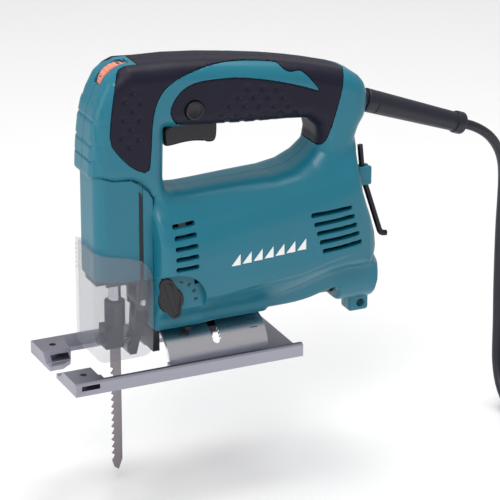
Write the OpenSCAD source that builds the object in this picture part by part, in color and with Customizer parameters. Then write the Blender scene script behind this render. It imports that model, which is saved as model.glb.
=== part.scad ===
// Compact top-handle jigsaw. Millimetres. The origin lies in the sole plane, on the centre line of the
// blade. +X runs back towards the cord, +Z up, and -Y is the operator's left.

/* [Shoe] */
// X of the shoe's front edge
shoe_front = -42; // [-46:1:-40]
// X of the shoe's rear edge
shoe_rear = 112; // [108:1:120]
// Half the shoe's width
shoe_half = 38.5; // [38:0.5:40]
// Thickness of the pressed plate
shoe_plate = 3; // [2.5:0.5:3]
// Height of the side rails above the sole
rail_top = 8.5; // [8:0.5:9]
// Outer radius of the tilting saddle, about the sole's centre line
saddle_r = 21.2; // [20.8:0.1:21.2]

/* [Blade] */
// How far the blade hangs below the sole
blade_reach = 73; // [60:1:80]
// Width of the blade
blade_w = 7; // [6:0.5:7]
// Thickness of the blade
blade_t = 1.2; // [1:0.1:1.4]
// Distance between two teeth
tooth_pitch = 4.6; // [3:0.2:5]

/* [Motor] */
// Height of the motor axis above the sole
motor_z = 66; // [66:0.1:66.4]
// Outer radius of the stator
stator_r = 24.5; // [24:0.1:24.8]
// Radius of the armature core
core_r = 14.7; // [14.4:0.1:14.9]
// Gear module
gear_m = 0.9; // [0.9:0.1:0.9]
// Teeth on the pinion
pinion_n = 8; // [8:1:8]
// Teeth on the crank gear
gear_n = 44; // [44:1:44]
// Distance from the crank gear's axis to the crank pin
crank_r = 9; // [8:0.5:9]

/* [Housing] */
// Half the width of the handle shells
handle_half = 17; // [16.5:0.5:17.5]
// Half the width of the motor barrel
barrel_half = 31; // [30:0.5:32]
// Thickness of the soft grip over the handle
grip_t = 1.8; // [1.4:0.2:2]
// Half the width of the nose cover
nose_half = 16.2; // [15.8:0.1:16.2]

/* [Guard] */
// Half the outer width of the clear guard
guard_half = 18.5; // [18.4:0.1:18.6]
// Wall thickness of the guard
guard_wall = 1.8; // [1.6:0.1:1.8]

/* [Cord] */
// Diameter of the cord
cord_d = 6.4; // [6:0.2:6.6]

/* [Hidden] */

teal = [0.10, 0.47, 0.53];
black = [0.13, 0.13, 0.16];
steel = [0.62, 0.62, 0.66];
fine = 64;

gear_axis_z = motor_z + gear_m * (gear_n + pinion_n) / 2;
pinion_r = gear_m * pinion_n / 2;
gear_r = gear_m * gear_n / 2;
plunger_r = 4;
run = 0.04; // radial clearance of a running fit

// ---- helpers ----

// A profile drawn in (Y, Z), extruded along X from x0
module along_x(x0, len) {
  translate([x0, 0, 0]) rotate([90, 0, 90]) linear_extrude(len) children();
}

// A profile drawn in (X, Z), extruded along Y from y0
module along_y(y0, len) {
  translate([0, y0 + len, 0]) rotate([90, 0, 0]) linear_extrude(len) children();
}

// A round bar along X, Y or Z whose low end is at p
module rod_x(p, r, len, fn = fine) { translate(p) rotate([0, 90, 0]) cylinder(r = r, h = len, $fn = fn); }
module rod_y(p, r, len, fn = fine) { translate(p) rotate([-90, 0, 0]) cylinder(r = r, h = len, $fn = fn); }
module rod_z(p, r, len, fn = fine) { translate(p) cylinder(r = r, h = len, $fn = fn); }

module ring_x(p, r_out, r_in, len) {
  difference() {
    rod_x(p, r_out, len);
    rod_x(p - [1, 0, 0], r_in, len + 2);
  }
}

module box(low, high) { translate(low) cube(high - low); }

// ---- outlines in the (X, Z) plane ----

handle_top = [[5.5, 198.6], [16.5, 198.3], [37.5, 197.6], [59.5, 195.4], [82, 192.2], [103.6, 188.6], [120, 185],
              [132, 182], [148, 177.4], [156, 174.6]];
nose_front = [[-20, 131.3], [-19.8, 136], [-19.3, 145.5], [-18.4, 155.5], [-17.4, 164], [-15.3, 173.6],
              [-12.4, 181.6], [-7, 191.3], [-0.5, 196.3]];
handle_rear = [[162.5, 170.8], [166, 166.5], [168, 161], [168.3, 152], [166.5, 144.5], [162.5, 138], [160, 131],
               [158.5, 122], [158.3, 111]];
barrel_rear = [[160.5, 98], [164, 88], [168, 78], [171.5, 68], [172.8, 59], [171.8, 53.5], [170, 50.5],
               [173.5, 49], [175, 44], [175, 22], [172, 19.5], [160, 20.5], [144, 23.5], [120, 25.5], [99, 26],
               [97, 23], [19.4, 23]];
seam = [[-14, 129], [-6, 126], [6, 125], [11, 122], [16, 116], [18, 111]];

// The whole clamshell from the side; the nose cover fills the corner below the seam
function shell_outline(lower_top) = concat(
  nose_front, [for (p = handle_top) p - [0, lower_top]], handle_rear, barrel_rear,
  [[19.4, 111]], [for (i = [len(seam) - 1:-1:0]) seam[i]]);

hand_hole = [[29.5, 143], [29, 124], [30.5, 117], [35, 113.5], [45, 112.5], [104, 112.5], [117, 114.5], [127, 120],
             [132.5, 127], [134, 135], [132.5, 142.5], [126, 148], [112, 149.5], [82, 151], [66, 152.5], [29.5, 156]];

handle_hollow = [[-14, 138.5], [-15.5, 150], [-14.5, 163], [-12, 174], [-5, 187], [3, 192.4], [34, 191.4],
                 [80, 186], [114, 179.5], [141, 172.3], [152, 168], [160.5, 161], [162, 154], [158.5, 146],
                 [154.5, 136], [153.5, 113], [139, 113], [138.5, 131], [137, 142], [130, 150.5], [116, 154.8],
                 [26, 158.5], [24.8, 138.5]];

// Half of the motor barrel's cross-section, in (Y, Z)
barrel_section = [[0, 113], [7, 112.2], [14, 109], [21, 102.5], [26.5, 94], [29.8, 85], [barrel_half, 75],
                  [barrel_half, 57], [29.3, 47], [25, 40.5], [21, 36.8], [19, 33.5], [17.5, 23], [0, 23]];
// Centre of the speed dial, in (X, Z)
dial_at = [4.5, 185.2];

// Half of the barrel seen from above, in (X, Y)
barrel_plan = [[19.4, 0], [19.4, 20.5], [21.5, 25], [26, 28.5], [34, 30.5], [44, barrel_half], [128, barrel_half],
               [150, 28.6], [165, 24.5], [172, 20], [175, 17.2], [175, 0]];

// ---- housing ----

// Half of the handle loop as stepped layers, each narrower at its edge
handle_layers = [[handle_half - 8, 0], [handle_half - 5, 1], [handle_half - 2, 2.6], [handle_half, 5]];

module loop_shape(inset) {
  difference() {
    offset(delta = -inset) polygon(shell_outline(grip_t));
    offset(delta = inset) polygon(hand_hole);
  }
}

module barrel_solid() {
  intersection() {
    along_x(19.4, 156) polygon(barrel_section);
    linear_extrude(120) polygon(barrel_plan);
    along_y(0, 40) polygon(shell_outline(grip_t));
  }
  rod_half_x([150, 0, 35], 17.2, 25);
}

// The right half of a round bar along X
module rod_half_x(p, r, len) {
  intersection() {
    rod_x(p, r, len);
    box([p[0] - 1, 0, 0], [p[0] + len + 1, 60, 80]);
  }
}

module vent_row(x0, z0, count, step_x, step_z, len, tilt) {
  for (i = [0:count - 1])
    translate([x0 + i * step_x, 20, z0 - i * step_z]) rotate([0, tilt, 0]) cube([len, 20, 2.6]);
}

module housing_hollows() {
  along_y(-1, 14.5) polygon(handle_hollow);
  rod_x([44, 0, motor_z], 26.2, 105);
  rod_x([21.6, 0, gear_axis_z], 22.2, 23);
  rod_x([21.6, 0, motor_z], 22.2, 23);
  box([21.6, -1, motor_z], [44.6, 22.2, gear_axis_z]);
  rod_x([148, 0, motor_z], 12, 6);
  rod_x([19, 0, 31], 7.3, 140);
  rod_x([158, 0, 35], 14.5, 18);
  box([-16.4, -1, 120], [20, 14.4, 139]); // seat of the gear housing's head
  box([15, -1, 57], [22, 14.4, 124]);
  box([12, -1, 112], [22, 14.4, 124]);
  box([30, -1, 146], [70, 9, 160]); // trigger mouth
  rod_y([dial_at[0], -1, dial_at[1]], 13.4, 5.4); // dial slot
  translate(guard_base) rotate([0, 110.5, 0]) {
    translate([0, 0, -14]) cylinder(r = 6.3, h = 30, $fn = fine); // cord inlet
    translate([0, 0, -19]) cylinder(r = 8.4, h = 7.1, $fn = fine); // room for its collar
  }
  vent_row(29.5, 93.5, 5, 0, 6.6, 15, -3);
  vent_row(121, 88.5, 5, 2, 6.2, 29, -2);
}

// The right half; the left one is its mirror image
module housing_half() {
  difference() {
    union() {
      for (l = handle_layers)
        intersection() {
          along_y(0, l[0]) loop_shape(l[1]);
          box([-40, -1, 96], [200, 40, 220]);
        }
      barrel_solid();
      box([160, 0, 9], [174, 6.5, 24]); // hook for a dust nozzle
    }
    housing_hollows();
    rod_y([168, -1, 14.5], 2.6, 10);
  }
}

module housing_right() {
  color(teal) difference() {
    union() {
      housing_half();
      screw_bosses(14);
    }
    for (p = screw_places) {
      rod_y([p[0], -1, p[1]], 1.8, 12);
      rod_y([p[0], 9, p[1]], 3.4, 30);
    }
  }
}

module screw_bosses(len) {
  for (p = screw_places) rod_y([p[0], 0, p[1]], 4.4, len, 32);
}

module housing_left() {
  color(teal) difference() {
    mirror([0, 1, 0]) union() {
      housing_half();
      screw_bosses(14);
    }
    for (p = screw_places) rod_y([p[0], -8, p[1]], 1.8, 9);
    rod_y([47, -30, 167], 6.4, 20); // lock button
    rod_y([30, -40, 45], 20, 40 - 25.6); // recess of the orbit lever
    rod_y([28, -40, 47], 5.1, 25);
    rod_y([28, -25.6, 47], 8.2, 4);
  }
}

// Front cover of the gear housing, with a groove on each side for the guard
module nose_cover() {
  side = [[-17.6, 60], [17.6, 57], [17.6, 110], [15.6, 115.5], [10.7, 121.3], [5.8, 124.3], [-6, 125.4],
          [-14, 128.4], [-17.6, 129.9]];
  color(teal) difference() {
    intersection() {
      along_y(-nose_half, 2 * nose_half) polygon(side);
      round_front(-17.6, nose_half, 7, 50, 90);
    }
    round_front(-15.8, 14, 5, 49, 92);
    for (s = [-1, 1]) translate([10.6, s > 0 ? 15 : -17, 50]) cube([2.8, 2, 75]);
  }
}

// A block open to the rear, with its two front corners rounded
module round_front(front, half, r, z0, len) {
  translate([0, 0, z0]) linear_extrude(len) {
    translate([front + r, -half]) square([20 - front - r, 2 * half]);
    translate([front, r - half]) square([r + 1, 2 * (half - r)]);
    for (s = [-1, 1]) translate([front + r, s * (half - r)]) circle(r = r, $fn = fine);
  }
}

// ---- soft grip ----

side_panel = [[33, 169], [35, 175], [41, 181], [50, 184], [64, 184.5], [80, 183.5], [98, 179], [120, 173], [129, 171],
              [134, 166], [138, 170], [147, 167.5], [146, 158], [139.5, 139], [134, 134.5], [128, 137.5], [122, 142],
              [112, 151.5], [68, 154.5], [36, 160]];
nose_panel = [[-1.5, 188], [-4, 181], [-7, 168], [-8.5, 154], [-3, 145], [6, 137], [16, 133.5], [18, 140],
              [18.5, 159], [20, 172], [25, 180], [27, 189.5], [12, 190.5]];

module grip_half(s) {
  for (shape = [side_panel, nose_panel])
    along_y(s > 0 ? handle_half : -handle_half - grip_t, grip_t) polygon(shape);
  along_y(s > 0 ? 0 : -(handle_half - 8), handle_half - 8) difference() {
    polygon(concat([for (i = [1:len(handle_top) - 1]) handle_top[i]],
                   [for (i = [len(handle_top) - 1:-1:1]) handle_top[i] - [0, grip_t]]));
    translate(dial_at) circle(r = 13.4, $fn = fine);
  }
}

module grip_right() { color(black) grip_half(1); }

module grip_left() {
  color(black) difference() {
    grip_half(-1);
    rod_y([47, -30, 167], 6.4, 20);
  }
}

// A raised saw-tooth mark on each side
module side_badges() {
  color("white") for (s = [-1, 1])
    along_y(s > 0 ? barrel_half : -barrel_half - 0.4, 0.4)
      for (i = [0:6]) translate([66 + i * 7.5, 66 + i * 0.5]) polygon([[0, 0], [6, 0], [6, 7]]);
}

// Screws that close the clamshell, driven from the right
screw_places = [[-10, 146], [33, 186], [146, 168.3], [147, 122], [112, 105], [157, 54], [27, 47.5]];

module housing_screws() {
  color(steel) for (p = screw_places) {
    rod_y([p[0], -7, p[1]], 1.8, 16);
    rod_y([p[0], 9, p[1]], 3.4, 2.4);
  }
}

// ---- gear case ----

module gear_housing() {
  color([0.70, 0.71, 0.73]) difference() {
    union() {
      for (z = [[58, 68], [112, 130]]) { // seats of the lower and upper bush
        box([-13, -9, z[0]], [9, 9, z[1]]);
        box([-9, -13, z[0]], [9, 13, z[1]]);
      }
      for (s = [-1, 1]) box([-10.8, s > 0 ? 12.4 : -13.8, 58], [19.2, s > 0 ? 13.8 : -12.4, 124]);
      box([-15.6, -9, 58], [-12.6, 9, 124]);
      for (s = [-1, 1]) box([12, s > 0 ? 6.5 : -9.5, 37], [19, s > 0 ? 9.5 : -6.5, 63]); // ears for the arm
      for (s = [-1, 1]) box([9, s > 0 ? 6.5 : -13.8, 58], [19.2, s > 0 ? 13.8 : -6.5, 68]);
    }
    rod_z([0, 0, 57], 6, 12);
    rod_z([0, 0, 111], 6, 20);
    rod_y([15.5, -10, 42], 2, 20);
  }
}

module plunger_bushes() {
  color([0.72, 0.52, 0.25]) for (z = [58, 112]) difference() {
    rod_z([0, 0, z], 6, 10);
    rod_z([0, 0, z - 1], plunger_r + run, 12);
  }
}

// Carries the gear shaft and the front motor bearing
module bearing_bracket() {
  color([0.66, 0.67, 0.70]) difference() {
    union() {
      rod_x([34.5, 0, gear_axis_z], 21.8, 5);
      rod_x([34.5, 0, motor_z], 21.8, 5);
      box([34.5, -21.8, motor_z], [39.5, 21.8, gear_axis_z]);
    }
    rod_x([34, 0, motor_z], 11, 6);
    rod_x([34, 0, gear_axis_z], 4, 6);
    for (s = [-1, 1]) rod_x([34, s * 16, 78], 2.2, 6);
  }
}

module gear_shaft() { color(steel) rod_x([20.5, 0, gear_axis_z], 4, 21); }

module bearing(x0, r_out, r_in, len) {
  ring_x([x0, 0, motor_z], r_out, r_out - 1.6, len);
  ring_x([x0, 0, motor_z], r_in + 1.6, r_in, len);
  ring_x([x0 + len / 2 - 0.5, 0, motor_z], r_out - 1.6, r_in + 1.6, 1);
}

module front_bearing() { color(steel) bearing(34.5, 11, 4 + run, 5); }
module rear_bearing() { color(steel) bearing(142, 9.5, 3.5 + run, 6); }

// ---- motor ----

module stator() {
  color([0.45, 0.46, 0.50]) intersection() {
    ring_x([70, 0, motor_z], stator_r, core_r + 0.6, 36);
    along_x(69, 38) translate([0, motor_z]) square([46, 44], center = true);
  }
}

module field_coils() {
  color([0.66, 0.36, 0.18]) for (x = [64.5, 106]) difference() {
    ring_x([x, 0, motor_z], 22, 16, 5.5);
    box([x - 1, -5, 20], [x + 7, 5, 120]);
  }
}

module brush_holders() {
  color([0.75, 0.60, 0.28]) for (s = [-1, 1]) difference() {
    box([119, s > 0 ? 13.5 : -25.5, motor_z - 4.5], [130, s > 0 ? 25.5 : -13.5, motor_z + 4.5]);
    box([121, -30, motor_z - 3], [128, 30, motor_z + 3]);
  }
}

module carbon_brushes() {
  color([0.2, 0.2, 0.2]) for (s = [-1, 1])
    box([121.1, s > 0 ? 11.3 : -22, motor_z - 2.9], [127.9, s > 0 ? 22 : -11.3, motor_z + 2.9]);
}

// Point on the involute of base radius rb, unrolled by t degrees
function involute(rb, t) = rb * [cos(t) + t * PI / 180 * sin(t), sin(t) - t * PI / 180 * cos(t)];
// Unrolling angle at which an involute reaches radius r
function unroll(rb, r) = r <= rb ? 0 : sqrt(r * r / (rb * rb) - 1) * 180 / PI;
function spin(p, a) = [p[0] * cos(a) - p[1] * sin(a), p[0] * sin(a) + p[1] * cos(a)];

// One tooth flank from root to tip, for a tooth centred on +X
function flank(rb, half, r_root, r_tip) = concat(
  [spin([r_root, 0], -half)],
  [for (i = [0:3]) spin(involute(rb, unroll(rb, max(rb, r_root) + (r_tip - max(rb, r_root)) * i / 3)), -half)]);

module gear_2d(n, r_root, r_tip, backlash) {
  pitch_r = gear_m * n / 2;
  rb = pitch_r * cos(20);
  lead = tan(20) * 180 / PI - 20;
  half = 90 / n + lead - backlash / pitch_r * 90 / PI;
  side = flank(rb, half, r_root, r_tip);
  tooth = concat(side, [for (i = [len(side) - 1:-1:0]) [side[i][0], -side[i][1]]]);
  polygon([for (k = [0:n - 1]) for (p = tooth) spin(p, k * 360 / n)]);
}

module armature_shaft() {
  color(steel) {
    rod_x([32.6, 0, motor_z], 4, 32);
    rod_x([64.6, 0, motor_z], 4, 77);
    rod_x([141.6, 0, motor_z], 3.5, 7);
    along_x(22, 10.6) translate([0, motor_z]) rotate(90) gear_2d(pinion_n, 2.6, 4.4, 0.14);
  }
}

module armature_core() {
  color([0.50, 0.50, 0.53]) difference() {
    rod_x([72, 0, motor_z], core_r, 32);
    rod_x([71, 0, motor_z], 4, 34);
    for (k = [0:11]) translate([71, 0, motor_z]) rotate([k * 30, 0, 0]) translate([0, -1, 9]) cube([34, 2, 7]);
  }
}

module armature_windings() {
  color([0.72, 0.38, 0.18]) {
    ring_x([66.5, 0, motor_z], 12.6, 4, 5.5);
    ring_x([104, 0, motor_z], 12.6, 4, 7);
  }
}

module commutator() {
  color([0.78, 0.45, 0.25]) difference() {
    rod_x([114, 0, motor_z], 11, 17);
    rod_x([113, 0, motor_z], 4, 19);
    for (k = [0:23]) translate([113, 0, motor_z]) rotate([k * 15, 0, 0]) translate([0, -0.3, 10]) cube([19, 0.6, 2]);
  }
}

module cooling_fan() {
  color([0.85, 0.83, 0.75]) {
    ring_x([50, 0, motor_z], 22.5, 4, 1.6);
    ring_x([51.6, 0, motor_z], 7, 4, 9);
    for (k = [0:13]) translate([51.6, 0, motor_z]) rotate([k * 360 / 14, 0, 0])
      translate([0, -0.6, 8]) cube([7.5, 1.2, 14]);
  }
}

// ---- crank and plunger ----

module crank_gear() {
  color([0.48, 0.47, 0.47]) difference() {
    along_x(23, 7) translate([0, gear_axis_z]) rotate(180 / gear_n) gear_2d(gear_n, 18.6, 20.15, 0.14);
    rod_x([22, 0, gear_axis_z], 6, 9);
    for (k = [60, 180, 300]) rod_x([22, 11 * sin(k), gear_axis_z + 11 * cos(k)], 3, 9);
    rod_x([22, crank_r, gear_axis_z], 3, 5);
  }
}

module gear_bush() { color([0.72, 0.52, 0.25]) ring_x([23, 0, gear_axis_z], 6, 4 + run, 7); }

// The pin stops just short of the yoke's slot
module crank_pin() { color(steel) rod_x([16.4, crank_r, gear_axis_z], 3, 10.6); }

module plunger() {
  color(steel) rod_z([0, 0, 27], plunger_r, 95);
}

module yoke() {
  color([0.55, 0.55, 0.58]) difference() {
    union() {
      box([-6, -5.5, gear_axis_z - 7], [12, 5.5, gear_axis_z + 7]);
      box([11, -10.2, gear_axis_z - 6.4], [16, 10.2, gear_axis_z + 6.4]);
    }
    rod_z([0, 0, 60], plunger_r, 60);
    box([13, -11, gear_axis_z - 3.1], [17, 11, gear_axis_z + 3.1]);
  }
}

module blade_clamp() {
  color([0.35, 0.35, 0.40]) difference() {
    union() {
      rod_z([0, 0, 27], 6.5, 16);
      box([-8.5, -6, 13], [3.4, 6, 27]);
    }
    rod_z([0, 0, 26.9], plunger_r, 20);
    box([-blade_w / 2, -blade_t / 2, 12], [4, blade_t / 2, 25]);
    rod_x([-9, 0, 19], 2, 5.4);
  }
}

module clamp_screw() {
  color([0.2, 0.2, 0.23]) difference() {
    union() {
      rod_x([-8.5, 0, 19], 2, 4.8);
      rod_x([-12, 0, 19], 3.6, 3.5);
    }
    along_x(-13, 3.2) translate([0, 19]) circle(r = 1.7, $fn = 6);
  }
}

// Teeth face forward, with their points towards the sole
module blade() {
  back = blade_w / 2;
  count = floor((blade_reach - 8) / tooth_pitch);
  color([0.66, 0.63, 0.62]) along_y(-blade_t / 2, blade_t) polygon(concat(
    [[back, 25], [-back, 25], [-back, -2]],
    [for (i = [0:count - 1]) each [[-back + 2.2, -2 - (i + 0.25) * tooth_pitch], [-back, -2 - (i + 0.95) * tooth_pitch]]],
    [[-back + 1.5, -blade_reach + 2], [0.5, -blade_reach], [back, -blade_reach + 5]]));
}

// ---- orbital support roller ----

module arm_pin() { color(steel) rod_y([15.5, -9.5, 42], 2, 19); }

module roller_arm() {
  color([0.30, 0.30, 0.34]) difference() {
    union() {
      rod_y([15.5, -6, 42], 3.6, 12);
      for (s = [-1, 1]) along_y(s > 0 ? 3.2 : -5.4, 2.2)
        polygon([[12.6, 43], [18.4, 43], [17.4, 26], [12.2, 6.5], [8, 6.5], [7.6, 12], [11.6, 22]]);
      box([11.9, -5.4, 18], [17, 5.4, 30]);
    }
    rod_y([15.5, -7, 42], 2 + run, 14);
    box([0, -3.2, 0], [11.6, 3.2, 18.5]);
  }
}

module roller() {
  color(steel) difference() {
    union() {
      rod_y([9.6, -2.9, 11], 4.4, 2);
      rod_y([9.6, 0.9, 11], 4.4, 2);
      rod_y([9.6, -1, 11], 3.3, 2);
    }
    box([0, -0.8, -2], [5, 0.8, 20]);
  }
}

module orbit_lever() {
  color(black) {
    hull() {
      rod_y([29, -29, 40.5], 4.2, 3.2, 32);
      rod_y([26.5, -29, 49], 7.4, 3.2, 32);
      rod_y([23.5, -29, 59], 4.6, 3.2, 32);
    }
    rod_y([28, -26, 47], 5, 11);
    rod_y([28, -25.4, 47], 8, 3.4);
  }
}

// ---- controls ----

module trigger() {
  color(black) difference() {
    union() {
      along_y(-8, 16) polygon([[31.5, 157], [31.5, 143], [34, 141.2], [46, 142.6], [56, 142], [63.5, 139.6],
                               [66.8, 141.5], [67.5, 149], [67, 157]]);
      along_y(-5.5, 11) polygon([[33, 156], [33, 163], [64, 163], [66, 156]]);
    }
    rod_y([36, -9, 159], 2, 18);
    box([46, -4.4, 150], [62, 4.4, 164]);
  }
}

module trigger_spring() {
  color(steel) ring_z([54, 0, 150], 3.4, 2.4, 21.2);
}

module ring_z(p, r_out, r_in, len) {
  difference() {
    rod_z(p, r_out, len);
    rod_z(p - [0, 0, 1], r_in, len + 2);
  }
}

module switch_body() {
  color([0.16, 0.16, 0.18]) {
    box([42, -7.6, 171.2], [90, 11, 183]);
    box([70.5, -9, 160], [90, 11, 172]);
    box([41, -7.6, 162], [53, -6.4, 172]); // backs the lock button's spring
    rod_y([36, -8.9, 159], 1.96, 17.8);
  }
}

module speed_module() {
  color([0.20, 0.35, 0.25]) {
    box([-12.4, -9, 155], [-2, 9, 167]);
    rod_y([dial_at[0], -9, dial_at[1]], 2, 18);
  }
}

module lock_button() {
  color(black) difference() {
    union() {
      rod_y([47, -20.4, 167], 6, 7);
      rod_y([47, -13.4, 167], 7.4, 1.8);
    }
    rod_y([47, -17.4, 167], 4.3, 7);
  }
}

// Drawn at its pressed length, inside the button
module button_spring() {
  color(steel) difference() {
    rod_y([47, -14.2, 167], 3.8, 6.6);
    rod_y([47, -15, 167], 3, 8);
  }
}

module speed_dial() {
  color([0.86, 0.52, 0.42]) difference() {
    rod_y([dial_at[0], -3.6, dial_at[1]], 12.6, 7.2);
    rod_y([dial_at[0], -5, dial_at[1]], 2 + run, 10);
    for (k = [0:23]) rod_y([dial_at[0] + 13 * cos(k * 15), -5, dial_at[1] + 13 * sin(k * 15)], 0.9, 10, 16);
  }
}

// ---- guard ----

module blade_guard() {
  side = [[-20.4, 10], [15, 10], [18.6, 16], [18.6, 62], [15.6, 69], [11, 74.5], [-5, 78.5], [-15, 81], [-20.4, 83.5]];
  inner = guard_half - guard_wall;
  color([0.85, 0.87, 0.90, 0.5]) {
    difference() {
      intersection() {
        along_y(-guard_half, 2 * guard_half) polygon(side);
        round_front(-20.4, guard_half, 6, 9, 81);
      }
      round_front(guard_wall - 20.4, inner, 4.3, 8, 83);
    }
    for (s = [-1, 1]) box([11, s > 0 ? 15.3 : -inner, 62], [13, s > 0 ? inner : -15.3, 72]);
    for (z = [69:3:81]) box([-21.3, -11, z], [-20.4, 11, z + 1.3]);
  }
}

// ---- shoe ----

// Half of the shoe's cross-section through the side rail, in (Y, Z)
rail_section = [[29.6, 0], [shoe_half, 0], [shoe_half, rail_top - 1], [shoe_half - 1, rail_top],
                [26.6 + rail_top, rail_top], [29.6, shoe_plate]];
// Half of the opening around the blade, guard and nose, in (X, Y)
shoe_opening = [[shoe_front - 1, 0], [shoe_front - 1, 5.5], [-33, 5.5], [-26, 11], [-23.6, 16], [-23.6, 29.6],
                [27.4, 29.6], [27.4, 0]];

module shoe() {
  color([0.62, 0.62, 0.66]) {
    difference() {
      union() {
        box([shoe_front, -shoe_half, 0], [shoe_rear, shoe_half, shoe_plate]);
        for (m = [0, 1]) mirror([0, m, 0]) {
          along_x(shoe_front, shoe_rear - shoe_front) polygon(rail_section);
          along_x(shoe_front, -22 - shoe_front)
            polygon([[9.5, 0], [30, 0], [35.2, rail_top], [17, rail_top], [10.5, 2.5]]);
        }
      }
      for (m = [0, 1]) mirror([0, m, 0]) translate([0, 0, -1]) linear_extrude(12) polygon(shoe_opening);
      rod_x([20, 0, 0], saddle_r - 2.6, 73.4); // open below the saddle
      box([-38, -40, 3.4], [-26, 40, 6.6]); // rip fence slots
      for (s = [-1, 1]) rod_z([-32, s * 26, 5], 2.1, 4);
    }
  }
}

// The arch that the body tilts on, with a curved slot for its bolt
module shoe_saddle() {
  color([0.62, 0.62, 0.66]) difference() {
    along_x(28, 68) intersection() {
      circle(r = saddle_r, $fn = 128);
      translate([-30, shoe_plate]) square([60, 30]);
    }
    rod_x([20, 0, 0], saddle_r - 2.6, 73.4);
    for (a = [-54:6:54]) rotate([a, 0, 0]) translate([0, 0, 10]) rod_z([62, 0, 0], 2.8, 15, 32);
  }
}

// Engraved bevel scale on the saddle's shoulder
module saddle_scale() {
  color([0.25, 0.25, 0.28]) for (a = [-45:15:45])
    rotate([a, 0, 0]) box([86, -0.25, saddle_r], [91, 0.25, saddle_r + 0.2]);
}

module saddle_clamp() {
  color([0.40, 0.40, 0.44]) difference() {
    intersection() {
      rod_x([50, 0, 0], saddle_r - 2.7, 24);
      box([49, -7, 13], [75, 7, 20]);
    }
    rod_z([62, 0, 10], 2.5, 12);
  }
}

module saddle_bolt() {
  color([0.25, 0.25, 0.28]) difference() {
    union() {
      rod_z([62, 0, 12], 2.5, 10.9);
      rod_z([62, 0, 8.5], 4.4, 4.5);
    }
    translate([62, 0, 8]) cylinder(r = 2.3, h = 3, $fn = 6);
  }
}

// ---- underside and rear ----

module dust_duct() {
  color([0.16, 0.17, 0.19]) {
    difference() {
      rod_x([20, 0, 31], 7, 138.2);
      rod_x([19, 0, 31], 5.6, 141);
    }
    difference() {
      rod_x([158.2, 0, 35], 14.4, 15.8);
      rod_x([160, 0, 35], 12.5, 15);
      rod_x([157, 0, 31], 6.2, 10);
    }
  }
}

module chip_deflector() {
  color(black) {
    box([20.6, -12, 9], [25, 12, 22.9]);
    rod_z([44, -12.5, 20.9], 2.6, 2.1);
  }
}

module hex_key() {
  r = 1.9;
  places = [[163.5, -12, 125], [166, -12, 103], [169.5, -12, 92], [178.6, -12, 64], [183, -12, 62.5]];
  color([0.14, 0.14, 0.17]) {
    for (i = [0:len(places) - 2]) {
      d = places[i + 1] - places[i];
      translate(places[i]) rotate([0, atan2(d[0], d[2]), 0]) cylinder(r = r, h = norm(d), $fn = 24);
    }
    for (i = [1:len(places) - 2]) translate(places[i]) sphere(r = r, $fn = 24);
    box([161.2, -16, 98.5], [170.4, -8, 111]);
  }
}

// ---- cord ----

guard_base = [172.2, 0, 150.1];
guard_dir = [sin(110.5), 0, cos(110.5)];
guard_len = 75.2;
cord_exit = guard_base + guard_len * guard_dir;

module cord_guard() {
  color(black) translate(guard_base) rotate([0, 110.5, 0]) {
    translate([0, 0, -14]) cylinder(r = 6.2, h = 16, $fn = fine);
    translate([0, 0, -15]) cylinder(r = 8.2, h = 3, $fn = fine);
    cylinder(r1 = 7.6, r2 = 6.2, h = guard_len - 6, $fn = fine);
    translate([0, 0, guard_len - 6.1]) cylinder(r = 7.3, h = 6.1, $fn = fine);
  }
}

module cord_clamp() {
  color(black) box([138, -8, 156], [148, 8, 161]);
}

bench = -85; // height of the bench below the sole
coil_c = [326, -20];
coil_turn = 43.3;
coil_in = 20.4;
// Free stretch, from the strain relief to the coil on the bench
route = [cord_exit, [250, 0.3, 121], [258, 1, 116.4], [265.5, 2.6, 110], [272, 4.9, 101.5], [277.2, 8, 91],
         [280.8, 12.2, 78], [283, 16.4, 61], [283.8, 19, 41], [283.9, 19.6, 18], [283.6, 19, -6],
         [283.2, 17.6, -28], [282.9, 16, -44], [282.7, 13.2, -56], [282.7, 6.6, -68.5], [282.7, -5, -77.8],
         [282.7, -20, -81.8]];

function unit(v) = v / norm(v);
function lerp(a, b, t) = a + (b - a) * t;
function heading(i) = unit(route[min(i + 1, len(route) - 1)] - route[max(i - 1, 0)]);
function ring(i, n) =
  let (h = heading(i), u = unit(cross(h, [0, 1, 0.001])), v = cross(h, u))
  [for (k = [0:n - 1]) route[i] + cord_d / 2 * (cos(k * 360 / n) * u + sin(k * 360 / n) * v)];

module cord() {
  n = 10;
  last = len(route) - 1;
  points = [for (i = [0:last]) each ring(i, n)];
  sides = [for (i = [0:last - 1]) for (k = [0:n - 1])
    let (a = i * n + k, b = i * n + (k + 1) % n) each [[a, b, b + n], [a, b + n, a + n]]];
  caps = [[for (k = [n - 1:-1:0]) k], [for (k = [0:n - 1]) last * n + k]];
  color(black) polyhedron(points, concat(sides, caps));
}

module cord_coil() {
  color(black) translate([coil_c[0], coil_c[1], bench]) rotate_extrude($fn = 96)
    translate([coil_in, 0]) square([coil_turn - coil_in - 0.02 + cord_d / 2, 2 * cord_d]);
}

module cord_tie() {
  color([0.25, 0.25, 0.28]) translate([coil_c[0], coil_c[1], bench]) rotate([0, 0, 250]) difference() {
    box([coil_in - 2.2, -6, 0], [coil_turn + cord_d / 2 + 1.2, 6, 2 * cord_d + 1.2]);
    box([coil_in - 1, -7, -1], [coil_turn + cord_d / 2 + 0.02, 7, 2 * cord_d + 0.02]);
  }
}

plug_at = [352, -37.3, -60.38]; // the plug lies on the coil

module plug_body() {
  color(black) translate(plug_at) rotate([-90, 0, 0]) {
    cylinder(r1 = 4.6, r2 = 7, h = 22, $fn = fine);
    hull() {
      translate([0, 0, 20]) cylinder(r = 8, h = 1, $fn = 32);
      for (s = [-1, 1]) translate([s * 6.5, 0, 34]) cylinder(r = 11.8, h = 24, $fn = 32);
    }
  }
}

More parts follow.
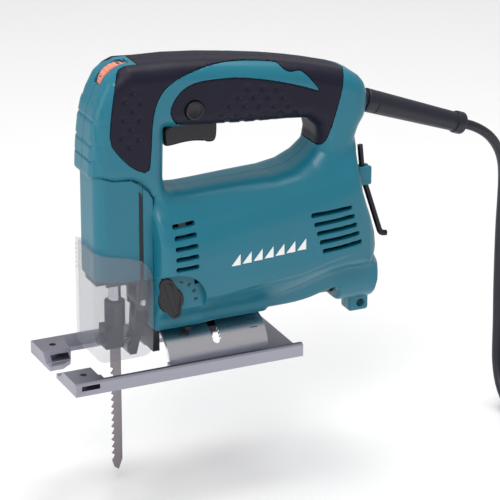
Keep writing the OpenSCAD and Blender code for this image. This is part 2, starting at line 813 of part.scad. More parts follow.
module plug_pins() {
  color(steel) translate(plug_at + [0, 58, 0]) for (s = [-1, 1]) rod_y([s * 9.5, 0, 0], 2.4, 19);
}

housing_left();
housing_right();
nose_cover();
grip_left();
grip_right();
side_badges();
housing_screws();
gear_housing();
plunger_bushes();
bearing_bracket();
gear_shaft();
front_bearing();
rear_bearing();
stator();
field_coils();
brush_holders();
carbon_brushes();
switch_body();
speed_module();
dust_duct();
saddle_bolt();
saddle_clamp();
chip_deflector();
arm_pin();
hex_key();
cord_guard();
cord_clamp();
cord();
cord_coil();
cord_tie();
plug_body();
plug_pins();
armature_shaft();
armature_core();
armature_windings();
commutator();
cooling_fan();
crank_gear();
gear_bush();
crank_pin();
plunger();
yoke();
blade_clamp();
clamp_screw();
blade();
roller_arm();
roller();
orbit_lever();
trigger();
trigger_spring();
lock_button();
button_spring();
speed_dial();
blade_guard();
shoe();
shoe_saddle();
saddle_scale();
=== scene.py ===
import math

import bmesh
import bpy
import numpy as np
from mathutils import Matrix, Vector


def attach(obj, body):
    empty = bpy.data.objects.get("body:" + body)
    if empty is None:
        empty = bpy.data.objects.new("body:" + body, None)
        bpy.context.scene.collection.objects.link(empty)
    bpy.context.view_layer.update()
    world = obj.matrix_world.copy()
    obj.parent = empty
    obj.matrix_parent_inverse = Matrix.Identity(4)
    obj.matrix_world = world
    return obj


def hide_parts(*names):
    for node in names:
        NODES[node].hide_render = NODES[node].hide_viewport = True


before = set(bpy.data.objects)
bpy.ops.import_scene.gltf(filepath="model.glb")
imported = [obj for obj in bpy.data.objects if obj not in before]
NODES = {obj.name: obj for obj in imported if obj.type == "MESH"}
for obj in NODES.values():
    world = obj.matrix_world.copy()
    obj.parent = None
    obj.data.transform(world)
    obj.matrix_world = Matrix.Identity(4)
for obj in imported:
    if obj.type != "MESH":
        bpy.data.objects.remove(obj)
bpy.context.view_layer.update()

MM = 0.001
STEP = 1.0  # coarser meshes while trying things
scene = bpy.context.scene

# Places that several pieces share, in millimetres: (x, z) unless the name says otherwise
FLOOR_Z = -85
MOTOR_Z, GEAR_Z = 66, 89.4  # height of the armature's axis and the crank gear's
DUCT_Z = 35  # height of the dust port's axis
DIAL_AT = (4.5, 185.2)
BUTTON_AT = (47, 167)
ORBIT_AT = (28, 47)
CORD_GUARD_AT = (172.2, 150.1)
CORD_GUARD_SLOPE = math.radians(110.5)  # from straight up, towards the rear

# ---------------------------------------------------------------- camera

VIEW_RIGHT = Vector((0.9086, -0.4177, 0))
VIEW_BACK = Vector((-0.3879, -0.8438, 0.3707))
camera_data = bpy.data.cameras.new("camera")
camera_data.lens = 230.7
camera_data.sensor_width = 36
camera_data.clip_start, camera_data.clip_end = 0.1, 50
camera = bpy.data.objects.new("camera", camera_data)
scene.collection.objects.link(camera)
back = VIEW_BACK.normalized()
right = (VIEW_RIGHT - VIEW_RIGHT.dot(back) * back).normalized()
up = back.cross(right)
turn = Matrix((right, up, back)).transposed()
camera.matrix_world = Matrix.Translation(Vector((-0.6921, -1.7074, 0.8112))) @ turn.to_4x4()
scene.camera = camera


# ---------------------------------------------------------------- materials

def lin(r, g, b):
    """An sRGB colour from 0 to 255 as linear values."""
    return tuple((c / 255 / 12.92) if c <= 10 else ((c / 255 + 0.055) / 1.055) ** 2.4 for c in (r, g, b)) + (1,)


def material(name, colour, rough, metal=0.0, grain_scale=900, bump=0.05, spread=0.12, blotch=60,
             stretch=(1, 1, 1), rough_spread=0.12, wear=0.0, **sockets):
    """A Principled material with colour and roughness that vary, a fine grain bump, and brighter worn edges."""
    m = bpy.data.materials.new(name)
    m.use_nodes = True
    tree = m.node_tree
    shader = tree.nodes["Principled BSDF"]
    new, link = tree.nodes.new, tree.links.new
    place = new("ShaderNodeTexCoord")
    mapping = new("ShaderNodeMapping")
    mapping.inputs["Scale"].default_value = stretch
    link(place.outputs["Object"], mapping.inputs["Vector"])
    broad = new("ShaderNodeTexNoise")
    broad.inputs["Scale"].default_value = blotch
    broad.inputs["Detail"].default_value = 5
    fine = new("ShaderNodeTexNoise")
    fine.inputs["Scale"].default_value = grain_scale
    fine.inputs["Detail"].default_value = 3
    for n in (broad, fine):
        link(mapping.outputs["Vector"], n.inputs["Vector"])
    ramp = new("ShaderNodeValToRGB")
    dark, light = ramp.color_ramp.elements
    dark.position, light.position = 0.3, 0.7
    dark.color = tuple(c * (1 - spread) for c in colour[:3]) + (1,)
    light.color = tuple(min(1, c * (1 + spread)) for c in colour[:3]) + (1,)
    link(broad.outputs["Fac"], ramp.inputs["Fac"])
    last = ramp.outputs["Color"]
    if wear:
        shape = new("ShaderNodeNewGeometry")
        edge = new("ShaderNodeMapRange")
        edge.inputs["From Min"].default_value, edge.inputs["From Max"].default_value = 0.53, 0.62
        edge.inputs["To Max"].default_value = wear
        link(shape.outputs["Pointiness"], edge.inputs["Value"])
        mix = new("ShaderNodeMix")
        mix.data_type = "RGBA"
        link(edge.outputs["Result"], mix.inputs["Factor"])
        link(last, mix.inputs["A"])
        mix.inputs["B"].default_value = tuple(min(1, c * 1.6 + 0.05) for c in colour[:3]) + (1,)
        last = mix.outputs["Result"]
    link(last, shader.inputs["Base Color"])
    level = new("ShaderNodeMapRange")
    level.inputs["To Min"].default_value = rough * (1 - rough_spread)
    level.inputs["To Max"].default_value = min(1, rough * (1 + rough_spread))
    link(fine.outputs["Fac"], level.inputs["Value"])
    link(level.outputs["Result"], shader.inputs["Roughness"])
    relief = new("ShaderNodeBump")
    relief.inputs["Strength"].default_value = bump
    relief.inputs["Distance"].default_value = 0.0002
    link(fine.outputs["Fac"], relief.inputs["Height"])
    link(relief.outputs["Normal"], shader.inputs["Normal"])
    shader.inputs["Metallic"].default_value = metal
    for key, value in sockets.items():
        shader.inputs[key.replace("_", " ")].default_value = value
    return m


TEAL = material("teal_plastic", lin(20, 110, 131), 0.34, grain_scale=1500, bump=0.10, spread=0.03, blotch=25)
GRIP = material("soft_grip", lin(20, 18, 38), 0.46, grain_scale=2600, bump=0.30, spread=0.08, blotch=40,
                Specular_IOR_Level=0.25)
RUBBER = material("cord_rubber", lin(25, 25, 40), 0.42, grain_scale=1800, bump=0.15, spread=0.08)
BLACK = material("black_plastic", lin(20, 18, 25), 0.40, grain_scale=2200, bump=0.22, spread=0.10)
SHOE = material("shoe_alloy", lin(138, 137, 149), 0.36, 1.0, grain_scale=420, bump=0.10, spread=0.07, blotch=35,
                stretch=(0.12, 1, 1), wear=0.5)
SADDLE = material("saddle_alloy", lin(214, 213, 218), 0.26, 1.0, grain_scale=420, bump=0.06, spread=0.04,
                  stretch=(0.15, 1, 1))
STEEL = material("ground_steel", lin(168, 168, 172), 0.30, 1.0, grain_scale=700, bump=0.08, spread=0.08)
DARK_STEEL = material("blackened_steel", lin(50, 48, 54), 0.42, 1.0, grain_scale=800, bump=0.15, spread=0.18, wear=0.6)
CHROME = material("polished_steel", lin(205, 205, 210), 0.14, 1.0, grain_scale=500, bump=0.03, spread=0.04)
# Cast alloy darkened below its own colour: painted shade, so the gear case reads dark in the seam behind the nose
# cover
SHADED_ALLOY = material("cast_alloy_painted_shade", lin(96, 97, 102), 0.55, 1.0, grain_scale=1000, bump=0.35, spread=0.10)
BRONZE = material("sintered_bronze", lin(170, 128, 70), 0.45, 1.0, grain_scale=1500, bump=0.3, spread=0.12)
LAMINATION = material("laminations", lin(104, 104, 110), 0.50, 1.0, grain_scale=900, bump=0.3, stretch=(4, 0.3, 0.3))
COPPER = material("copper_wire", lin(176, 98, 54), 0.32, 1.0, grain_scale=1200, bump=0.4, stretch=(0.4, 1, 1))
CARBON = material("carbon_brush", lin(34, 34, 36), 0.70, grain_scale=1600, bump=0.3)
NYLON = material("glass_filled_nylon", lin(208, 202, 184), 0.50, grain_scale=1500, bump=0.2)
BLADE = material("saw_steel", lin(132, 127, 131), 0.30, 1.0, grain_scale=600, bump=0.12, spread=0.12,
                 stretch=(1, 1, 0.15))
DIAL = material("dial_plastic", lin(226, 138, 116), 0.42, grain_scale=1800, bump=0.12, spread=0.06)
WHITE = material("white_print", lin(240, 240, 240), 0.45, grain_scale=2500, bump=0.05, spread=0.03)
INK = material("dark_print", lin(34, 50, 60), 0.50, grain_scale=2500, bump=0.05, spread=0.05)
WEAVE = material("woven_tie", lin(40, 40, 46), 0.75, grain_scale=2600, bump=0.8, stretch=(1, 1, 0.4))
CLEAR = material("clear_polycarbonate", lin(150, 154, 164), 0.08, grain_scale=300, bump=0.01, spread=0.01,
                 rough_spread=0.3, Alpha=0.2, IOR=1.5)

# ---------------------------------------------------------------- curves and fields, in millimetres


def smin(a, b, k):
    """The smaller of two fields, rounded over a width of about k."""
    h = np.clip(0.5 + 0.5 * (b - a) / k, 0, 1)
    return b + (a - b) * h - k * h * (1 - h)


def smax(a, b, k):
    """The larger of two fields, rounded over a width of about k."""
    return -smin(-a, -b, k)


def step01(v, a, b):
    """A smooth step from 0 at a to 1 at b."""
    t = np.clip((v - a) / (b - a), 0, 1)
    return t * t * (3 - 2 * t)


class Outline:
    """Signed distance to a closed outline, negative inside, kept on a fine grid and read between its points."""

    def __init__(self, points, soft=0.6, pitch=0.4, pad=14.0):
        p = np.array(points, float)
        self.low, self.pitch = p.min(0) - pad, pitch
        count = np.ceil((p.max(0) + pad - self.low) / pitch).astype(int) + 1
        u = (self.low[0] + pitch * np.arange(count[0]))[:, None]
        v = (self.low[1] + pitch * np.arange(count[1]))[None, :]
        best = np.full((count[0], count[1]), 1e9)
        inside = np.zeros(best.shape, bool)
        for a, b in zip(p, np.roll(p, -1, 0)):
            e = b - a
            t = np.clip(((u - a[0]) * e[0] + (v - a[1]) * e[1]) / max(e @ e, 1e-12), 0, 1)
            best = np.minimum(best, (u - a[0] - t * e[0]) ** 2 + (v - a[1] - t * e[1]) ** 2)
            if a[1] != b[1]:
                hit = ((a[1] > v) != (b[1] > v)) & (u < a[0] + e[0] * (v - a[1]) / e[1])
                inside ^= hit
        d = np.sqrt(best) * np.where(inside, -1, 1)
        if soft:
            k = np.arange(-int(3 * soft / pitch) - 1, int(3 * soft / pitch) + 2)
            w = np.exp(-0.5 * (k * pitch / soft) ** 2)
            w /= w.sum()
            for axis in (0, 1):
                d = sum(wi * np.take(d, np.clip(np.arange(d.shape[axis]) + ki, 0, d.shape[axis] - 1), axis)
                        for wi, ki in zip(w, k))
        self.d = d

    def __call__(self, u, v):
        u, v = np.broadcast_arrays((u - self.low[0]) / self.pitch, (v - self.low[1]) / self.pitch)
        top = np.array(self.d.shape) - 1.001
        cu, cv = np.clip(u, 0, top[0]), np.clip(v, 0, top[1])
        away = np.hypot(u - cu, v - cv) * self.pitch
        i, j = cu.astype(int), cv.astype(int)
        fu, fv = cu - i, cv - j
        d = self.d
        return ((d[i, j] * (1 - fu) + d[i + 1, j] * fu) * (1 - fv)
                + (d[i, j + 1] * (1 - fu) + d[i + 1, j + 1] * fu) * fv + away)


def cylinder(a, b, ca, cb, r):
    """An endless rod, across the plane of coordinates a and b."""
    return np.hypot(a - ca, b - cb) - r


def slab(v, a, b):
    """The layer between a and b."""
    return np.maximum(a - v, v - b)


def block(x, y, z, low, high, r=0.0):
    """A box between two corners, with its edges rounded to r."""
    c = [(a + b) / 2 for a, b in zip(low, high)]
    h = [(b - a) / 2 - r for a, b in zip(low, high)]
    q = [np.abs(v - m) - e for v, m, e in zip((x, y, z), c, h)]
    out = np.sqrt(sum(np.maximum(v, 0) ** 2 for v in q))
    return out + np.minimum(np.maximum(np.maximum(q[0], q[1]), q[2]), 0) - r


def rounded(flat, y, half, r):
    """A flat shape given half its thickness, with its edges rounded to r."""
    a, b = flat + r, np.abs(y) - half + r
    return np.minimum(np.maximum(a, b), 0) + np.hypot(np.maximum(a, 0), np.maximum(b, 0)) - r


def curved(points, rounds=2):
    """A closed outline with its corners cut round."""
    p = np.array(points, float)
    for _ in range(rounds):
        q = np.roll(p, -1, 0)
        p = np.stack([0.75 * p + 0.25 * q, 0.25 * p + 0.75 * q], 1).reshape(-1, 2)
    return p


def surface(field, low, high, step):
    """Corners and quads of the surface where field is zero.

    Each cell it crosses has one corner, at the best meeting of the planes that cross the cell, so edges stay sharp.
    """
    low, high = np.array(low, float), np.array(high, float)
    count = np.ceil((high - low) / step).astype(int) + 1
    axes = [low[i] + step * np.arange(count[i]) for i in range(3)]
    grid = np.array(np.broadcast_to(field(axes[0][:, None, None], axes[1][None, :, None], axes[2][None, None, :]),
                                    tuple(count)), dtype=np.float32)
    inner = grid < 0
    cells = count - 1
    ids, planes, quads = [], [], []
    for axis in range(3):
        e = np.eye(3, dtype=int)[axis]
        a = inner[tuple(slice(0, n - 1) if i == axis else slice(0, n) for i, n in enumerate(count))]
        b = inner[tuple(slice(1, n) if i == axis else slice(0, n) for i, n in enumerate(count))]
        at = np.argwhere(a != b)
        others = [i for i in range(3) if i != axis]
        keep = np.ones(len(at), bool)
        for i in others:
            keep &= (at[:, i] > 0) & (at[:, i] < count[i] - 1)
        at = at[keep]
        va, vb = grid[tuple(at.T)], grid[tuple((at + e).T)]
        p = low + step * (at + (va / (va - vb))[:, None] * e)
        g = gradient(field, p, step * 0.25)
        d = field(p[:, 0], p[:, 1], p[:, 2])
        around = []
        u, v = (np.eye(3, dtype=int)[i] for i in others)
        for off in (0 * u, u, u + v, v):
            cell = at - off
            flat = (cell[:, 0] * cells[1] + cell[:, 1]) * cells[2] + cell[:, 2]
            around.append(flat)
            ids.append(flat)
            planes.append((p, g, d))
        ring = np.stack(around, 1)
        flip = (va < 0) == (axis != 1)
        ring[flip] = ring[flip][:, ::-1]
        quads.append(ring)
    ids = np.concatenate(ids)
    p, g, d = (np.concatenate([q[i] for q in planes]) for i in range(3))
    used, index = np.unique(ids, return_inverse=True)
    total = len(used)
    share = np.bincount(index, minlength=total)
    mass = np.stack([np.bincount(index, p[:, i], total) for i in range(3)], 1) / share[:, None]
    rhs = ((p - mass[index]) * g).sum(1) - d
    ata = np.zeros((total, 3, 3))
    atb = np.zeros((total, 3))
    for i in range(3):
        atb[:, i] = np.bincount(index, g[:, i] * rhs, total)
        for j in range(i, 3):
            ata[:, i, j] = ata[:, j, i] = np.bincount(index, g[:, i] * g[:, j], total)
    move = np.linalg.solve(ata + 0.06 * np.eye(3), atb[:, :, None])[:, :, 0]
    cell = np.stack([used // (cells[1] * cells[2]), (used // cells[2]) % cells[1], used % cells[2]], 1)
    corner = low + step * cell
    spot = np.clip(mass + move, corner + 0.02 * step, corner + 0.98 * step)
    return spot, np.searchsorted(used, np.concatenate(quads))


def gradient(field, p, h):
    """The field's direction of growth at each of the points p."""
    g = np.stack([field(*(p + h * e).T) - field(*(p - h * e).T) for e in np.eye(3)], 1)
    return g / np.maximum(np.linalg.norm(g, axis=1, keepdims=True), 1e-9)


# ---------------------------------------------------------------- pieces

BOX_FACES = ((3, 2, 1, 0), (4, 5, 6, 7), (0, 1, 5, 4), (1, 2, 6, 5), (2, 3, 7, 6), (3, 0, 4, 7))


def piece(name, body, points, faces, finish, stands_for=(), angle=32):
    """A piece from its own corners, in millimetres, and faces."""
    mesh = bpy.data.meshes.new(name)
    mesh.from_pydata([tuple(float(c) * MM for c in p) for p in points], [], [tuple(map(int, f)) for f in faces])
    mesh.validate()
    return dress(bpy.data.objects.new(name, mesh), body, finish, stands_for, angle)


def dress(obj, body, finish, stands_for=(), angle=32):
    """Gives a piece its finish and its body, and hides the CAD nodes it stands for."""
    if obj.name not in scene.collection.objects:
        scene.collection.objects.link(obj)
    if obj.type == "MESH":
        obj.data.shade_smooth()
        obj.data.set_sharp_from_angle(angle=math.radians(angle))
    obj.data.materials.append(finish)
    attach(obj, body)
    if stands_for:
        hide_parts(*stands_for)
    return obj


def apply_all(obj):
    """Applies a piece's modifiers."""
    graph = bpy.context.evaluated_depsgraph_get()
    mesh = bpy.data.meshes.new_from_object(obj.evaluated_get(graph))
    obj.modifiers.clear()
    old, obj.data = obj.data, mesh
    bpy.data.meshes.remove(old)


def moulded(name, body, field, low, high, step, finish, stands_for=(), keep=0.5, angle=32):
    """A piece whose surface is where field is zero, thinned to a share of its faces where it is flat."""
    spot, quads = surface(field, low, high, step * STEP)
    mesh = bpy.data.meshes.new(name)
    mesh.vertices.add(len(spot))
    mesh.vertices.foreach_set("co", (spot * MM).astype(np.float32).ravel())
    mesh.loops.add(4 * len(quads))
    mesh.loops.foreach_set("vertex_index", quads.astype(np.int32).ravel())
    mesh.polygons.add(len(quads))
    mesh.polygons.foreach_set("loop_start", (4 * np.arange(len(quads))).astype(np.int32))
    mesh.update(calc_edges=True)
    obj = bpy.data.objects.new(name, mesh)
    scene.collection.objects.link(obj)
    loose_bits(mesh)
    thin = obj.modifiers.new("thin", "DECIMATE")
    thin.ratio = keep
    apply_all(obj)
    return dress(obj, body, finish, stands_for, angle)


SPECK = 60  # corners; a smaller island is removed


def loose_bits(mesh):
    """Removes specks that the field leaves beside the piece."""
    bm = bmesh.new()
    bm.from_mesh(mesh)
    seen, gone = set(), []
    for v in bm.verts:
        if v.index in seen:
            continue
        island, stack = [], [v]
        seen.add(v.index)
        while stack:
            w = stack.pop()
            island.append(w)
            for e in w.link_edges:
                o = e.other_vert(w)
                if o.index not in seen:
                    seen.add(o.index)
                    stack.append(o)
        if len(island) < SPECK:
            gone += island
    if gone:
        bmesh.ops.delete(bm, geom=gone, context="VERTS")
        bm.to_mesh(mesh)
    bm.free()


def tidy(obj):
    """Joins corners that meet and turns the faces outwards."""
    bm = bmesh.new()
    bm.from_mesh(obj.data)
    bmesh.ops.remove_doubles(bm, verts=bm.verts, dist=1e-6)
    bmesh.ops.recalc_face_normals(bm, faces=bm.faces)
    bm.to_mesh(obj.data)
    bm.free()
    return obj


# ---------------------------------------------------------------- the cord comes first

def smooth_route(points, n=4):
    """Points on a Catmull-Rom curve through these, n to a stretch."""
    p = [Vector(q) for q in points]
    p = [2 * p[0] - p[1]] + p + [2 * p[-1] - p[-2]]
    out = []
    for i in range(1, len(p) - 2):
        a, b, c, d = p[i - 1:i + 3]
        for k in range(n):
            t = k / n
            out.append(0.5 * (2 * b + (c - a) * t + (2 * a - 5 * b + 4 * c - d) * t * t
                              + (3 * b - a - 3 * c + d) * t ** 3))
    return out + [p[-2]]


FREE = [(242.64, 0, 123.76), (250, 0.3, 121), (258, 1, 116.4), (265.5, 2.6, 110), (272, 4.9, 101.5),
        (277.2, 8, 91), (280.8, 12.2, 78), (283, 16.4, 61), (283.8, 19, 41), (283.9, 19.6, 18), (283.6, 19, -6),
        (283.2, 17.6, -28), (282.3, 16, -44), (281.2, 13.2, -56), (280.2, 6.6, -68.5), (279.6, -5, -77.8)]
COIL = (326, -20)  # its centre, (x, y)
LOW, HIGH = -81.8, -75.4  # the lead's centre in the coil's two layers
# Where the coil's radius changes, in degrees from its start, and by how much: inwards below, outwards on top
TURNS = ((0, -3.2), (360, -6.4), (720, -6.5), (1080, -6.4), (1650, 6.4), (2010, 6.5), (2370, 6.4))
PLUG = (352, -37.3, -60.38)  # on top of the coil, pointing along +Y
PLUG_BEND = PLUG[0] - COIL[0]
CORD_RADIUS = 3.2


def coil_at(turned):
    """A point of the coil, this many degrees on from where the lead meets it.

    It turns inwards on the bench, then outwards again on top of the first turns.
    """
    radius = 46.5
    for start, change in TURNS:
        radius += change * float(step01(turned, start, start + 90))
    z = LOW + (HIGH - LOW) * float(step01(turned, 1360, 1440))
    a = math.radians(180 + turned)
    return (COIL[0] + radius * math.cos(a), COIL[1] + radius * math.sin(a), z)


coil_points = [coil_at(t) for t in range(0, 2611, 10)]
rising = []  # off the coil's top turn and up into the plug, round one bend
for turned in range(6, 91, 6):
    a = math.radians(turned)
    rising.append((COIL[0] + PLUG_BEND * math.sin(a), PLUG[1] - PLUG_BEND * math.cos(a),
                   HIGH + (PLUG[2] - HIGH) * float(step01(turned, 0, 84))))
route = smooth_route(FREE + coil_points[:1], 3)[:-1] + coil_points + rising
curve = bpy.data.curves.new("power_cord", "CURVE")
curve.dimensions = "3D"
curve.bevel_depth = CORD_RADIUS * MM
curve.bevel_resolution = 5
line = curve.splines.new("POLY")
line.points.add(len(route) - 1)
for point, place in zip(line.points, route):
    point.co = (place[0] * MM, place[1] * MM, place[2] * MM, 1)
curve.use_fill_caps = True
power_cord = bpy.data.objects.new("power_cord", curve)
scene.collection.objects.link(power_cord)
curve.materials.append(RUBBER)
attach(power_cord, "housing")
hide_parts("cord", "cord_coil")

# ---------------------------------------------------------------- outlines of the housing

# Seen from the side, (x, z)
SHELL = [(-20, 131.3), (-19.8, 136), (-19.3, 145.5), (-18.4, 155.5), (-17.4, 164), (-15.3, 173.6), (-12.4, 181.6),
         (-7, 191.3), (-0.5, 196.3), (5.5, 198.6), (16.5, 198.3), (37.5, 197.6), (59.5, 195.4), (82, 192.2),
         (103.6, 188.6), (120, 185), (132, 182), (148, 177.4), (156, 174.6), (162.5, 170.8), (166, 166.5),
         (168, 161), (168.3, 152), (166.5, 144.5), (162.5, 138), (160, 131), (158.5, 122), (158.3, 111),
         (160.5, 98), (164, 88), (168, 78), (171.5, 68), (172.8, 59), (171.8, 53.5), (170, 50.5), (173.5, 49),
         (175, 44), (175, 22), (172, 19.5), (160, 20.5), (144, 23.5), (120, 25.5), (99, 26), (97, 23), (19.4, 23),
         (19.4, 111), (18, 111), (16, 116), (11, 122), (6, 125), (-6, 126), (-14, 129)]
HOLE = [(29.5, 143), (29, 124), (30.5, 117), (35, 113.5), (45, 112.5), (104, 112.5), (117, 114.5), (127, 120),
        (132.5, 127), (134, 135), (132.5, 142.5), (126, 148), (112, 149.5), (82, 151), (66, 152.5), (29.5, 156)]
HOLLOW = [(-14, 138.5), (-15.5, 150), (-14.5, 163), (-12, 174), (-5, 187), (3, 192.4), (34, 191.4), (80, 186),
          (114, 179.5), (141, 172.3), (152, 168), (160.5, 161), (162, 154), (158.5, 146), (154.5, 136),
          (153.5, 113), (139, 113), (138.5, 131), (137, 142), (130, 150.5), (116, 154.8), (26, 158.5), (24.8, 138.5)]
# The barrel's half section, (distance from the middle, z), and its half width along x
SECTION = [(-40, 113), (7, 112.2), (14, 109), (21, 102.5), (26.5, 94), (29.8, 85), (31, 75), (31, 57), (29.3, 47),
           (25, 40.5), (21, 36.8), (19, 33.5), (17.5, 23), (-40, 23)]
PLAN_X = (19.4, 21.5, 26, 34, 44, 126, 140, 150, 165, 172, 175)
PLAN_Y = (22.5, 26.5, 30, 33, 37, 37, 33.6, 30.4, 25, 20.4, 17.4)
# The crease low on the flank
CREASE_X, CREASE_Z = (40, 56, 74, 94, 115, 136, 152, 175), (43, 45, 49, 51, 52.5, 58, 61, 66)
# The soft grip's edge as it shows on the handle's flank; see grip_edge
GRIP_EDGE = [(5, 214), (3, 208), (-3, 199), (-4, 188), (-7, 169), (-8, 153), (-2, 144), (7, 134.5), (17, 130),
             (18.5, 139), (19.5, 158), (21, 169), (24.5, 178.5), (32, 186), (44, 191), (58, 194.5), (71, 195.5),
             (86, 194), (102, 191), (104.6, 189), (107.4, 185), (112, 182.2), (116.5, 182.6), (119, 182.6),
             (123, 179.4), (129, 172.5), (134, 165.5), (120, 171.5), (98, 178.5), (78, 183), (64, 184), (50, 184),
             (41, 181), (35, 175), (32, 168),
             (33, 163), (37, 158.6), (68, 155.4), (82, 154), (104, 152.3), (113, 150), (122, 141), (127, 135.5),
             (132, 131.5), (136, 132.5), (139.5, 138), (146, 158), (149, 171), (147.5, 186), (147, 214)]
shell_line, hole_line = Outline(SHELL, 0.7), Outline(HOLE, 0.7)
hollow_line, section_line = Outline(HOLLOW, 0.3), Outline(SECTION, 1.2)
grip_line = Outline(curved(GRIP_EDGE, 1), 0.35)


FLANK = 17  # half the handle's width, where the grip's edge is laid out
SLANT_X, SLANT_Z = 0.4597, 0.4393  # how far the grip's edge and dents move for each millimetre inward
DENT_FLANK = 17.5


def grip_edge(x, y, z):
    """The grip's edge runs straight down onto the rounded shoulders along one slanting direction on each side."""
    inward = FLANK - np.abs(y)
    edge = grip_line(x - SLANT_X * inward, z + SLANT_Z * inward)
    tongue = np.maximum(np.abs(y) - 9.5, np.maximum(x - 13.5, 186 - z))
    return smax(edge, -tongue, 0.8)


FINGER_STEPS = ((167, 176.5, -12.6), (153, 166.4, -16.6), (142, 151.5, -14.6), (130, 141.5, -18))  # z, z, x


def body_shape(x, y, z):
    """The closed housing with nothing cut from it."""
    s, h = shell_line(x, z), hole_line(x, z)
    flat = smax(s, -h, 0.6)
    radius = 9 + 2 * step01(x, 5, 20)
    loop = rounded(flat, y, 18.8, radius)
    loop = smax(loop, 92 - z, 2)
    for bottom, top, edge in FINGER_STEPS:  # down the front corners
        raised = (step01(z, bottom, bottom + 0.9) * (1 - step01(z, top - 0.9, top))
                  * (1 - step01(x, edge - 0.5, edge + 0.5)))
        loop = loop - 0.5 * raised
    lift = 0.17 * (smax(x, 47, 14) - 62) * step01(z, 70, 90) + 10 * step01(x, 100, 155) * (1 - step01(z, 45, 65))
    waist = 1.5 * step01(np.interp(x, CREASE_X, CREASE_Z) - z, 0, 2.6) * step01(x, 48, 62)  # under the flank's crease
    barrel = smax(section_line(np.abs(y) + waist, z - lift), (np.abs(y) - np.interp(x, PLAN_X, PLAN_Y)) * 0.85, 5)
    barrel = smax(smax(barrel, s, 5), -h, 6)
    barrel = smax(barrel, 19.4 - x, 2)
    tube = smax(cylinder(y, z, 0, DUCT_Z, 17.2), slab(x, 148, 175), 2.4)
    tube = np.maximum(tube, s - 0.6)
    body = smin(smin(loop, barrel, 7), tube, 4)
    hook = np.maximum(block(x, y, z, (160, -6.5, 9), (174, 6.5, 26), 2.2), 2.7 - np.hypot(x - 168, z - 14.5))
    return smin(body, hook, 2)


def slanting(x, z, x0, z0, length, height, slope):
    """A slot seen from the side, from its lower front corner, sloping up by some degrees."""
    c, s = math.cos(math.radians(slope)), math.sin(math.radians(slope))
    u, v = (x - x0) * c + (z - z0) * s, -(x - x0) * s + (z - z0) * c
    a, b = np.abs(u - length / 2) - length / 2 + 1.2, np.abs(v - height / 2) - height / 2 + 1.2
    return np.hypot(np.maximum(a, 0), np.maximum(b, 0)) + np.minimum(np.maximum(a, b), 0) - 1.2


def cuts(x, y, z):
    """Everything hollow in the housing: negative where there is no plastic."""
    w = np.abs(y)
    out = np.maximum(hollow_line(x, z), w - 13.4)
    for part in (
        np.maximum(cylinder(y, z, 0, MOTOR_Z, 26.2), slab(x, 44, 149)),
        np.maximum(cylinder(y, z, 0, GEAR_Z, 20.9), slab(x, 21.6, 44.6)),
        np.maximum(cylinder(y, z, 0, GEAR_Z, 22), slab(x, 33.6, 44.6)),
        np.maximum(cylinder(y, z, 0, MOTOR_Z, 22), slab(x, 33.6, 44.6)),
        np.maximum(slab(x, 21.6, 44.6), np.maximum(w - 20.9, slab(z, 50, GEAR_Z))),
        np.maximum(slab(x, 33.6, 44.6), np.maximum(w - 22, slab(z, MOTOR_Z, GEAR_Z))),
        np.maximum(cylinder(y, z, 0, MOTOR_Z, 12), slab(x, 148, 154)),
        np.maximum(cylinder(y, z, 0, 31, 7.3), slab(x, 10, 159)),
        np.maximum(cylinder(y, z, 0, DUCT_Z, 14.5), slab(x, 158, 200)),
        np.maximum(w - 14.4, np.maximum(slab(x, -16.4, 20), slab(z, 110, 139))),
        np.maximum(w - 14.4, np.maximum(slab(x, 5, 22), slab(z, 57, 124))),
        np.maximum(w - 9, np.maximum(slab(x, 30, 70), slab(z, 140, 160))),
        np.maximum(w - 4.4, cylinder(x, z, *DIAL_AT, 13.4)),
    ):
        out = np.minimum(out, part)
    vents = np.full(np.broadcast(x, z).shape, 1e3)
    for i in range(5):
        vents = np.minimum(vents, slanting(x, z, 29.5, 93.5 - 6.6 * i, 15, 3.0, 3))
        vents = np.minimum(vents, slanting(x, z, 121 + 2 * i, 88.5 - 6.2 * i, 29, 3.0, 2))
    out = np.minimum(out, np.maximum(vents, 20 - w))
    dx, dz = math.sin(CORD_GUARD_SLOPE), math.cos(CORD_GUARD_SLOPE)
    along = (x - CORD_GUARD_AT[0]) * dx + (z - CORD_GUARD_AT[1]) * dz
    off = np.hypot(-(x - CORD_GUARD_AT[0]) * dz + (z - CORD_GUARD_AT[1]) * dx, y)
    out = np.minimum(out, np.maximum(off - 6.3, slab(along, -14, 20)))
    return np.minimum(out, np.maximum(off - 8.4, slab(along, -19, -11.9)))


SCREWS = [(-10, 146), (33, 186), (146, 168.3), (147, 122), (112, 105), (157, 54), (27, 47.5)]


def housing(side):
    """One half of the housing: side is -1 for the left and 1 for the right."""
    def field(x, y, z):
        body = body_shape(x, y, z)
        # Panels are let in by their own thickness, with a narrow gap round them
        body = np.maximum(body, np.minimum(body + 2.4, 0.4 - grip_edge(x, y, z)))
        hollow = cuts(x, y, z)
        for sx, sz in SCREWS:
            hollow = np.maximum(hollow, -np.maximum(cylinder(x, z, sx, sz, 4.4), np.abs(y) - 14))
        body = smax(body, -hollow, 0.5)
        if side < 0:
            body = smax(body, -np.maximum(cylinder(x, z, 30, 45, 20), y + 24.3), 0.5)
            body = np.maximum(body, -np.maximum(cylinder(x, z, *BUTTON_AT, 6.4), y + 10))
            body = np.maximum(body, -np.maximum(cylinder(x, z, *ORBIT_AT, 5.1), y + 15))
            body = np.maximum(body, -np.maximum(cylinder(x, z, *ORBIT_AT, 8.2), y + 21.6))
        else:
            for sx, sz in SCREWS:
                body = np.maximum(body, -np.maximum(cylinder(x, z, sx, sz, 3.5), 9 - y))
        return smax(body, 0.12 - side * y, 0.4)
    return field


